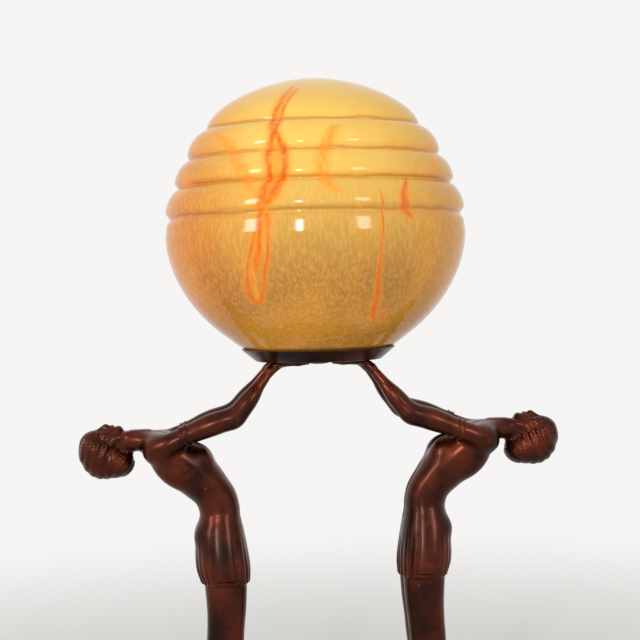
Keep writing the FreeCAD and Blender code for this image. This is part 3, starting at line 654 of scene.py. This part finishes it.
def make_shade(glass):
    """Dome, three stepped rings and bowl, as one closed wall open at the foot."""
    crown = GROOVE_HEIGHTS[0] + 1.5
    outside = [(r, crown + z) for r, z in
               superellipse(GROOVE_RADII[0], SHADE_TOP - crown, 1.67, 28)][::-1]
    for index, radius in enumerate(RING_RADII):
        groove_r, groove_z = GROOVE_RADII[index], GROOVE_HEIGHTS[index]
        drop = 0.8 * (groove_z - GROOVE_HEIGHTS[index + 1])
        ring = [(groove_r + r, groove_z - drop + z) for r, z in
                superellipse(radius - groove_r, drop, 1.67, 14)]
        outside += ring[::-1]
    last_r, last_z = GROOVE_RADII[-1], GROOVE_HEIGHTS[-1]
    outside += [(last_r, last_z), ((last_r + BELLY_RADIUS) / 2 + 1.0, last_z - 4.5)]
    outside += [(r, BELLY_HEIGHT - z)
                for r, z in superellipse(BELLY_RADIUS, BOWL_FALL, 1.85, 36, 0, 52)]
    outside += SHADE_FOOT
    outer = soften(outside, 0.8, 0.9)
    outer[0, 0] = 0.0
    way = np.gradient(outer, axis=0)
    way /= np.hypot(way[:, 0], way[:, 1])[:, None]
    inner = outer + np.stack([way[:, 1], -way[:, 0]], axis=1) * SHADE_WALL
    inner = soften(inner[inner[:, 0] > 0.5], 1.6, 4.0)
    inner[0] = (0.0, SHADE_TOP - SHADE_WALL)
    inner[-1, 1] = outer[-1, 1]
    profile = np.vstack([outer, inner[::-1]])
    profile[:, 0] = np.clip(profile[:, 0], 0.01, BELLY_RADIUS)
    points, faces = turned(profile, PAN_FLOOR, 192, closed=False)
    add_piece("mottled_shade", points, faces, glass, "shade", "glass_shade")


# ---------------------------------------------------------------- pan, plinth and lampholder
def make_pan(bronze):
    """The shallow pan with a rounded rim, turned smooth."""
    floor, rim, deep = 52.5, 65.2, 10.5
    slant = (rim - floor) / deep
    skin = PAN_WALL * math.sqrt(1 + slant ** 2)
    profile = [(NIPPLE_BORE, 0.0), (floor, 0.0), (rim - 1.2, deep - 1.0), (rim - 0.2, deep - 0.35),
               (rim - 0.9, deep - 0.02), (rim - skin, deep - 0.05),
               (floor + slant * PAN_WALL - skin, PAN_WALL), (NIPPLE_BORE, PAN_WALL)]
    rounded = soften(profile, 0.5, 0.35)
    points, faces = turned(rounded, PALM_LEVEL, 128)
    add_bronze("pan", points, faces, bronze, "gallery_pan")


def make_lampholder(brass):
    """The holder's cap and sleeve as spun brass, with a bead at the joint and a rolled mouth."""
    cap = [(NIPPLE_BORE, 0.0), (15.2, 0.0), (18.9, 2.4), (20.0, 5.6), (20.0, 19.98), (18.4, 19.98),
           (18.4, 6.4), (13.6, 1.6), (NIPPLE_BORE, 1.6)]
    points, faces = turned(soften(cap + cap[:1], 0.35, 0.3), PAN_FLOOR, 96)
    add_piece("holder_cap", points, faces, brass, "lamp", "lampholder_cap")
    bead, mouth = ([(19.3 + 0.7 * math.sin(math.pi * k / 8), start + high * k / 8)
                    for k in range(9)] for start, high in ((0.3, 3.0), (28.6, 3.2)))
    sleeve = [(18.45, 0.1), (19.3, 0.1), *bead, (19.35, 10.0), (19.35, 27.0), *mouth, (18.45, 31.9)]
    points, faces = turned(soften(sleeve + sleeve[:1], 0.3, 0.22), SLEEVE_LOW.z / MM, 96)
    add_piece("holder_sleeve", points, faces, brass, "lamp", "lampholder_sleeve")


BULB_RADIUS = 29.9
THREAD_RADIUS, THREAD_DEPTH, THREAD_PITCH = 12.55, 0.5, 3.6


def make_bulb(glass, metal):
    """The pear-shaped bulb, turned smooth, and its cap with a rolled thread."""
    tall = (BULB_HIGH.z - BULB_LOW.z) / MM
    outline = [(12.9, 0.0), (13.1, 3.0), (13.9, 9.0), (16.4, 17.0), (20.6, 26.5), (25.4, 35.0)]
    outline += [(BULB_RADIUS * math.cos(math.radians(a)),
                 tall - BULB_RADIUS + BULB_RADIUS * math.sin(math.radians(a)))
                for a in range(-18, 90, 9)]
    outline = np.vstack([[(0.01, 0.0)], smooth_rows(outline, 5), [(0.01, tall)]])
    points, faces = turned(outline, BULB_LOW.z / MM, 96, closed=False)
    add_piece("bulb_envelope", points, faces, glass, "bulb", "bulb_glass")
    low, high = (corner.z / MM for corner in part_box("bulb_cap"))
    rows, segments = 96, 72
    heights = np.linspace(low, high, rows)
    angles = np.arange(segments) * (2 * math.pi / segments)
    ends = np.clip(np.minimum(heights - low, high - heights) / 2.0, 0, 1)[:, None]
    wave = np.cos((heights[:, None] / THREAD_PITCH - angles / (2 * math.pi)) * 2 * math.pi)
    radii = THREAD_RADIUS + THREAD_DEPTH * wave * ends
    rings = np.stack([radii * np.cos(angles), radii * np.sin(angles),
                      np.broadcast_to(heights[:, None], radii.shape)], axis=-1).reshape(-1, 3)
    points = np.vstack([rings, [(0, 0, low), (0, 0, high)]]) * MM
    faces = [quad for i in range(rows - 1) for quad in between(i, i + 1, segments)]
    top = (rows - 1) * segments
    for k in range(segments):
        n = (k + 1) % segments
        faces += [(n, k, rows * segments), (top + k, top + n, rows * segments + 1)]
    add_piece("bulb_thread", points, faces, metal, "bulb", "bulb_cap")


def stadium(half_length, half_width, segments):
    """A closed outline with straight sides and round ends, as (x, y) rows."""
    run = half_length - half_width
    points = []
    for middle, start in ((run, -math.pi / 2), (-run, math.pi / 2)):
        for k in range(segments):
            a = math.pi * (k / (segments - 1)) + start
            points.append((middle + half_width * math.cos(a), half_width * math.sin(a)))
    return points


PLINTH_RISE = 40.0
PLINTH_TOP_WALL = 6.0
PLINTH_LINING_INSET = 27.0
PLINTH_PROFILE = [
    # (inset, height) in millimetres, from inside the wall, under its rim and up the moulded side
    (8.0, 14.0), (6.0, 2.6), (0.0, 2.6), (0.0, 14.6), (0.6, 15.4), (2.6, 15.6), (4.0, 16.0),
    (4.4, 16.8), (6.4, 20.2), (9.6, 23.0), (13.6, 25.4), (17.0, 28.4), (17.4, 29.4), (20.0, 30.0),
    (20.0, 38.2), (21.6, 39.7), (23.6, PLINTH_RISE)]


def make_plinth(bronze):
    """The moulded plinth with its round ends, as one smooth skin over its wall."""
    half_length, half_width = PLINTH_HIGH.x / MM, PLINTH_HIGH.y / MM
    profile = soften(PLINTH_PROFILE, 0.8, 0.5)
    rows = [*profile, (PLINTH_LINING_INSET, PLINTH_RISE),
            (PLINTH_LINING_INSET, PLINTH_RISE - PLINTH_TOP_WALL)]
    rings = [stadium(half_length - inset, half_width - inset, 40) for inset, _ in rows]
    heights = [height for _, height in rows]
    count = len(rings[0])
    points = [(x * MM, y * MM, z * MM) for ring, z in zip(rings, heights) for x, y in ring]
    top = len(profile)
    faces = [quad for i in range(len(rings)) if i != top
             for quad in between(i, (i + 1) % len(rings), count)]
    for ring, turned_over in ((top, False), (top + 1, True)):
        corners = [ring * count + k for k in range(count)]
        for k in range(count // 2 - 1):
            a, b = corners[k], corners[k + 1]
            c, d = corners[count - 2 - k], corners[count - 1 - k]
            faces.append((d, c, b, a) if turned_over else (a, b, c, d))
    add_bronze("plinth", points, faces, bronze, "base_plinth")


# ---------------------------------------------------------------- materials
class Shader:
    """The node tree of a material or world, with short calls to add and join nodes."""

    def __init__(self, owner):
        owner.use_nodes = True
        self.owner = owner
        self.nodes, self.links = owner.node_tree.nodes, owner.node_tree.links
        self.place = self.add("ShaderNodeTexCoord").outputs["Object"]

    def add(self, kind, inputs=None, **settings):
        node = self.nodes.new(kind)
        for key, value in settings.items():
            setattr(node, key, value)
        for key, value in (inputs or {}).items():
            self.feed(node.inputs[key], value)
        return node

    def feed(self, socket, value):
        if isinstance(value, bpy.types.NodeSocket):
            self.links.new(value, socket)
        else:
            socket.default_value = value

    def set(self, node="Principled BSDF", **values):
        for key, value in values.items():
            self.feed(self.nodes[node].inputs[key.replace("_", " ")], value)

    def math(self, operation, *values):
        node = self.add("ShaderNodeMath", operation=operation)
        for socket, value in zip(node.inputs, values):
            self.feed(socket, value)
        return node.outputs[0]

    def times(self, a, b):
        return self.math("MULTIPLY", a, b)

    def vector(self, operation, inputs):
        return self.add("ShaderNodeVectorMath", inputs, operation=operation).outputs[0]

    def squeezed(self, place, upright):
        """Places whose pattern is drawn out upright: the smaller the number, the longer."""
        node = self.add("ShaderNodeMapping", {"Vector": place, "Scale": (1.0, 1.0, upright)})
        return node.outputs[0]

    def noise(self, scale, detail=3.0, place=None):
        node = self.add("ShaderNodeTexNoise", {"Vector": place or self.place, "Scale": scale,
                                               "Detail": detail})
        return node.outputs["Fac"]

    def spread(self, value, low, high, to_low=0.0, to_high=1.0):
        node = self.add("ShaderNodeMapRange", {0: value, 1: low, 2: high, 3: to_low, 4: to_high},
                        interpolation_type="SMOOTHSTEP")
        return node.outputs[0]

    def mix(self, share, a, b):
        node = self.add("ShaderNodeMix", data_type="RGBA", blend_type="MIX")
        for socket, value in zip((node.inputs[0], node.inputs[6], node.inputs[7]), (share, a, b)):
            self.feed(socket, value)
        return node.outputs[2]

    def tint(self, base, share, amount, red, green, blue):
        """The base with an on-screen colour mixed in, by the share times the amount."""
        return self.mix(self.times(share, amount), base, colour(red, green, blue))

    def shown(self):
        """1 for the rays in which the backdrop itself is seen, 0 for those that it lights."""
        rays = self.add("ShaderNodeLightPath").outputs
        shown = self.math("MAXIMUM", rays["Is Camera Ray"], rays["Is Transmission Ray"])
        return self.math("MAXIMUM", shown, rays["Is Glossy Ray"])

    def bump(self, height, strength, distance):
        node = self.add("ShaderNodeBump",
                        {"Height": height, "Strength": strength, "Distance": distance})
        self.set(Normal=node.outputs[0])


def new_shader(name):
    return Shader(bpy.data.materials.new(name))


def colour(red, green, blue):
    """A colour given as it looks on screen, 0 to 255, as shader values."""
    values = []
    for part in (red, green, blue):
        part = part / 255
        values.append(part / 12.92 if part <= 0.04045 else ((part + 0.055) / 1.055) ** 2.4)
    return (*values, 1.0)


def make_bronze():
    """Waxed brown patina over cast bronze: dark in hollows, amber where it is rubbed."""
    s = new_shader("bronze_patina")
    cloudy = s.spread(s.noise(30.0, 4.0), 0.30, 0.72)
    fine = s.noise(260.0, 5.0)
    worn = s.add("ShaderNodeNewGeometry").outputs["Pointiness"]
    ridge = s.times(s.spread(worn, 0.515, 0.60), s.spread(fine, 0.20, 0.5))
    hollow = s.spread(worn, 0.488, 0.43)
    patches = s.times(s.spread(s.noise(62.0, 2.5), 0.56, 0.72), s.spread(fine, 0.30, 0.70))
    brown = s.mix(cloudy, colour(36, 12, 5), colour(90, 35, 14))
    brown = s.tint(brown, patches, 0.34, 130, 60, 14)
    brown = s.tint(brown, ridge, 0.6, 158, 82, 36)
    brown = s.tint(brown, hollow, 0.9, 18, 7, 4)
    s.set(Base_Color=brown, Metallic=0.87, Specular_IOR_Level=0.25, Coat_Weight=0.15,
          Coat_Roughness=0.2, Roughness=s.spread(s.noise(120.0, 4.0), 0.3, 0.7, 0.28, 0.38))
    s.bump(s.math("ADD", s.times(fine, 0.5), s.noise(55.0, 3.0)), 0.16, 0.0005)
    return s.owner


STREAKS = [
    # (height above the pan's floor, angle, half width) along each, in millimetres and degrees
    [(223, -19.1, 1.2), (214, -21.4, 2.0), (205, -22.8, 2.2), (194, -23.8, 1.6), (190, -23.4, 1.6),
     (181, -20.7, 1.6), (173, -18.5, 1.4), (166, -17.0, 1.6), (156, -15.6, 1.5), (145, -16.6, 1.9),
     (133, -19.2, 2.5), (122, -22.0, 2.5)],
    [(219, -13.9, 0.8), (209, -17.9, 1.2), (200, -19.2, 1.2), (189, -19.9, 1.4), (178, -22.0, 1.4),
     (165, -23.0, 1.8), (154, -22.2, 1.5), (145, -21.7, 1.7), (133, -22.6, 2.2), (121, -23.4, 2.2)],
    [(121, -23.8, 1.6), (106, -25.6, 1.0), (89, -28.0, 0.9), (70, -31.0, 1.1), (59, -32.8, 1.6),
     (51, -32.2, 2.0), (47, -30.4, 1.6)],
    [(47, -30.4, 1.5), (54, -27.6, 1.2), (70, -24.0, 1.0), (92, -21.3, 1.0), (117, -21.6, 1.4)],
    [(112, -23.6, 1.3), (93, -24.8, 1.5), (80, -26.2, 1.7), (71, -27.0, 1.0)],
    [(133, 20.0, 0.35), (120, 20.5, 0.45), (106, 19.9, 0.4), (90, 19.2, 0.5), (71, 19.4, 0.7),
     (52, 20.9, 1.4), (39, 22.4, 1.8), (31, 26.1, 1.3)],
    [(31, 26.6, 1.5), (35, 28.1, 1.1), (43, 28.2, 0.6)],
    [(143, 34.4, 0.6), (131, 29.9, 1.8), (122, 30.0, 2.4), (111, 32.0, 1.4)],
]
FAINT_STREAKS = [
    [(219, -16.5, 1.6), (206, -21.0, 1.8), (190, -22.5, 2.0), (178, -20.4, 2.0), (165, -19.4, 2.6),
     (145, -19.0, 2.4), (133, -20.8, 2.2), (119, -22.8, 1.4), (92, -25.0, 0.8), (70, -27.8, 0.7),
     (50, -30.4, 0.6)],
    [(189, -66.0, 1.4), (181, -50.0, 2.6), (169, -42.1, 2.4), (152, -33.9, 2.2), (133, -27.3, 1.6)],
    [(152, -65.1, 2.0), (140, -67.8, 3.2), (132, -67.5, 2.4)],
    [(186, 6.6, 1.6), (169, 1.4, 2.2), (153, -1.3, 2.0), (140, -0.4, 1.8), (130, 5.0, 1.4)],
    [(181, 64.9, 1.8), (164, 56.8, 2.4), (146, 47.6, 1.8)],
]
# The unseen side carries the same kinds of streak, turned round the axis by these degrees.
BACK_TURNS = {0: 172.0, 1: 172.0, 2: 172.0, 3: 172.0, 5: 116.0, 6: 116.0, 7: -128.0}


FULL_ANGLE = 360.0   # a curve node holds 0 to 1: angles of -180 to 180 degrees
FULL_WIDTH = 8.0     # and half widths of 0 to 8 degrees


def curve_through(s, share, rows):
    """A value that runs through rows of (share, value), both from 0 to 1."""
    node = s.add("ShaderNodeFloatCurve", {"Value": share})
    node.mapping.use_clip = False
    rows = sorted(rows)
    points = node.mapping.curves[0].points
    points[0].location, points[1].location = rows[0], rows[-1]
    for row in rows[1:-1]:
        points.new(*row)
    node.mapping.update()
    return node.outputs[0]


def streak(s, stops, angle, height):
    """How much of one streak's core, and of its wider halo, colours a place."""
    low, high = min(stops)[0], max(stops)[0]
    share = s.add("ShaderNodeMapRange", {0: height, 1: low, 2: high, 3: 0.0, 4: 1.0}).outputs[0]
    places = [((level - low) / (high - low), turn, half) for level, turn, half in stops]
    track = curve_through(s, share, [(at, turn / FULL_ANGLE + 0.5) for at, turn, _ in places])
    width = curve_through(s, share, [(at, half / FULL_WIDTH) for at, _, half in places])
    away = s.math("SUBTRACT", angle, s.times(s.math("SUBTRACT", track, 0.5), FULL_ANGLE))
    width = s.math("MAXIMUM", s.times(width, FULL_WIDTH), 0.05)
    away = s.math("DIVIDE", s.math("ABSOLUTE", away), width)
    ends = s.times(s.spread(height, low - 1.5, low + 2.5), s.spread(height, high + 1.5, high - 2.5))
    return s.times(s.spread(away, 1.3, 0.1), ends), s.times(s.spread(away, 2.7, 0.3), ends)


def make_glass():
    """Amber glass: rice-grain flecks, orange streaks, deeper orange low down (painted shade) and
    aside (painted light).
    """
    s = new_shader("amber_glass")
    warp = s.add("ShaderNodeTexNoise", {"Vector": s.place, "Scale": 30.0, "Detail": 2.0})
    nudge = s.vector("SUBTRACT", {0: warp.outputs["Color"], 1: (0.5, 0.5, 0.5)})
    place = s.vector("ADD", {0: s.place, 1: s.vector("SCALE", {0: nudge, "Scale": 0.006})})
    x, y, z = s.add("ShaderNodeSeparateXYZ", {0: place}).outputs
    height = s.math("SUBTRACT", s.times(z, 1 / MM), PAN_FLOOR)
    angle = s.times(s.math("ARCTAN2", x, s.times(y, -1.0)), 180.0 / math.pi)
    stretched = s.squeezed(place, 0.30)
    grains = s.spread(s.noise(430.0, 2.0, stretched), 0.38, 0.68)
    clouds = s.spread(s.noise(15.0, 3.0, stretched), 0.36, 0.68)
    # Painted light: deeper orange at the left and right sides, standing in for light through the
    # glass seen edge-on.
    left, right = s.spread(x, -0.050, -0.120), s.spread(x, 0.045, 0.120)
    # Painted shade: the glass is drawn darker and deeper orange towards the bottom of the shade.
    amber = s.mix(s.spread(height, 178.0, 52.0), colour(236, 192, 90), colour(170, 114, 42))
    amber = s.tint(amber, left, 0.9, 200, 100, 8)
    amber = s.tint(amber, right, 0.8, 200, 128, 32)
    amber = s.tint(amber, clouds, 0.4, 232, 156, 44)
    amber = s.tint(amber, grains, 0.2, 242, 202, 112)
    # Painted shade: a darker orange band along each groove, where the ring above shades the glass.
    painted_groove_shade = 0.0
    for groove in GROOVE_HEIGHTS:
        gap = s.math("ABSOLUTE", s.math("SUBTRACT", height, groove + 1.0))
        painted_groove_shade = s.math("MAXIMUM", painted_groove_shade, s.spread(gap, 2.0, 0.2))
    amber = s.tint(amber, painted_groove_shade, 0.5, 184, 98, 26)
    core, halo, faint = 0.0, 0.0, 0.0
    for index, stops in enumerate(STREAKS):
        for turn in (0.0, BACK_TURNS[index]) if index in BACK_TURNS else (0.0,):
            turned_stops = [(h, (a + turn + 180) % 360 - 180, w) for h, a, w in stops]
            inner, outer = streak(s, turned_stops, angle, height)
            core, halo = s.math("MAXIMUM", core, inner), s.math("MAXIMUM", halo, outer)
    for stops in FAINT_STREAKS:
        faint = s.math("MAXIMUM", faint, streak(s, stops, angle, height)[1])
    strands = s.spread(s.noise(330.0, 3.0, s.squeezed(place, 0.10)), 0.34, 0.62, 0.55, 1.0)
    amber = s.tint(amber, s.times(faint, strands), 0.8, 242, 150, 34)
    amber = s.tint(amber, s.times(halo, strands), 0.6, 242, 150, 36)
    fading = s.spread(height, 224.0, 182.0, 0.45, 0.9)
    amber = s.tint(amber, s.times(core, strands), fading, 220, 96, 2)
    s.set(Base_Color=amber, Roughness=0.10, Specular_IOR_Level=0.3,
          Subsurface_Weight=0.12, Subsurface_Radius=(0.005, 0.0025, 0.0008), Subsurface_Scale=1.0)
    s.bump(s.noise(60.0, 2.0, stretched), 0.08, 0.0008)
    return s.owner


def make_plain(name, rgb, roughness, metallic, speckle, scale, depth, coat=0.0):
    """A plain finish with fine colour variation and a matching surface texture."""
    s = new_shader(name)
    base = colour(*rgb)
    grain = s.noise(scale, 4.0)
    darker = tuple(part * (1 - speckle) for part in base[:3]) + (1.0,)
    s.set(Base_Color=s.mix(s.spread(grain, 0.35, 0.65), darker, base), Metallic=metallic,
          Roughness=s.spread(grain, 0.3, 0.7, roughness * 0.85, min(roughness * 1.2, 1.0)),
          Coat_Weight=coat)
    s.bump(grain, 0.3, depth)
    return s.owner


# ---------------------------------------------------------------- stage and light
BACKDROP_LEVEL = 0.92
BACKDROP_COLOUR = (1.0, 0.99, 0.975, 1.0)
SOFT_LIGHT_LEVEL = 0.58
FLOOR_HALF = 6.0
FLOOR_GAP = 0.0002
LAMPS = [
    # name, place and aim in metres, size in metres, watts
    ("key", (-1.5, -1.15, 1.08), (0, 0, 0.42), (0.30, 0.70), 11.0),
    ("fill", (1.0, -1.65, 1.0), (0, 0, 0.40), (0.34, 0.62), 8.0),
    ("strip", (-0.52, -1.85, 0.84), (0, 0, 0.42), (0.14, 0.42), 10.0),
]


def make_stage():
    """A pale floor that fades into an even, pale surround, which shows brighter than it lights."""
    s = new_shader("stage_floor")
    s.set(Base_Color=(0.8, 0.79, 0.77, 1.0), Roughness=0.9)
    s.bump(s.noise(40.0), 0.02, 0.001)
    x, y, _ = s.add("ShaderNodeSeparateXYZ", {0: s.place}).outputs
    away = s.math("SQRT", s.math("ADD", s.times(x, x), s.times(y, y)))
    glow = s.add("ShaderNodeEmission", {"Color": BACKDROP_COLOUR, "Strength": BACKDROP_LEVEL})
    blend = s.add("ShaderNodeMixShader", {0: s.times(s.spread(away, 0.35, 1.6), s.shown()),
                                          1: s.nodes["Principled BSDF"].outputs[0],
                                          2: glow.outputs[0]})
    s.set("Material Output", Surface=blend.outputs[0])
    points = [(FLOOR_HALF * i, FLOOR_HALF * j, 0) for i, j in ((-1, -1), (1, -1), (1, 1), (-1, 1))]
    mesh = bpy.data.meshes.new("floor")
    mesh.from_pydata(points, [], [(0, 1, 2, 3)])
    mesh.materials.append(s.owner)
    floor = new_object("floor", mesh)
    floor.location.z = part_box("base_felt_pad")[0].z - FLOOR_GAP
    world = Shader(bpy.data.worlds.new("world"))
    bpy.context.scene.world = world.owner
    level = world.add("ShaderNodeMapRange",
                      {0: world.shown(), 3: SOFT_LIGHT_LEVEL, 4: BACKDROP_LEVEL})
    world.set("Background", Color=BACKDROP_COLOUR, Strength=level.outputs[0])


def add_lamp(name, place, aim, size, watts):
    data = bpy.data.lights.new(name, "AREA")
    data.shape = "RECTANGLE"
    data.size, data.size_y = size
    data.energy = watts
    lamp = new_object(name, data)
    lamp.location = place
    lamp.rotation_euler = (Vector(aim) - Vector(place)).to_track_quat("-Z", "Y").to_euler()


make_camera()
bronze = make_bronze()
glass = make_glass()
make_figures(bronze)
make_shade(glass)
make_pan(bronze)
make_plinth(bronze)

PLAIN_FINISHES = [
    # name, colour, roughness, metallic, speckle, grain scale, depth in metres, coat
    ("zinc_steel", (172, 174, 178), 0.34, 1.0, 0.2, 300.0, 0.0002),
    ("sheet_steel", (96, 96, 98), 0.42, 0.9, 0.2, 180.0, 0.0002),
    ("green_felt", (44, 62, 46), 0.95, 0.0, 0.35, 700.0, 0.0008),
    ("black_plastic", (30, 29, 28), 0.4, 0.0, 0.2, 240.0, 0.0002),
    ("aged_brass", (170, 126, 66), 0.32, 1.0, 0.3, 90.0, 0.0003),
    ("porcelain", (232, 228, 216), 0.22, 0.0, 0.06, 60.0, 0.0002, 0.5),
    ("contact_metal", (190, 160, 100), 0.3, 1.0, 0.2, 150.0, 0.0002),
    ("cap_metal", (186, 184, 176), 0.28, 1.0, 0.15, 200.0, 0.0002),
    ("clear_glass", (240, 238, 230), 0.12, 0.0, 0.03, 80.0, 0.0001, 1.0),
]
finishes = {row[0]: make_plain(*row) for row in PLAIN_FINISHES}
finishes["bronze_patina"] = bronze
FINISHED_NODES = {
    "bronze_patina": ["nipple_lock_nut", "nipple_washer"],
    "zinc_steel": ["cover_plate_screws", "foot_studs", "foot_washers", "foot_nuts"],
    "sheet_steel": ["base_cover_plate"],
    "green_felt": ["shade_seat_ring", "base_felt_pad"],
    "black_plastic": ["cable_inlet_bush", "bulb_insulator"],
    "aged_brass": ["pan_screws", "terminal_screw", "nipple", "insert_screws"],
    "porcelain": ["terminal_block", "lampholder_insert"],
    "contact_metal": ["thread_shell", "centre_contact", "bulb_contact"],
}
make_lampholder(finishes["aged_brass"])
make_bulb(finishes["clear_glass"], finishes["cap_metal"])
for finish, node_names in FINISHED_NODES.items():
    for node_name in node_names:
        cad_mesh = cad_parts[node_name].data
        cad_mesh.materials.clear()
        cad_mesh.materials.append(finishes[finish])

make_stage()
for lamp in LAMPS:
    add_lamp(*lamp)

bpy.context.scene.view_settings.view_transform = "Standard"
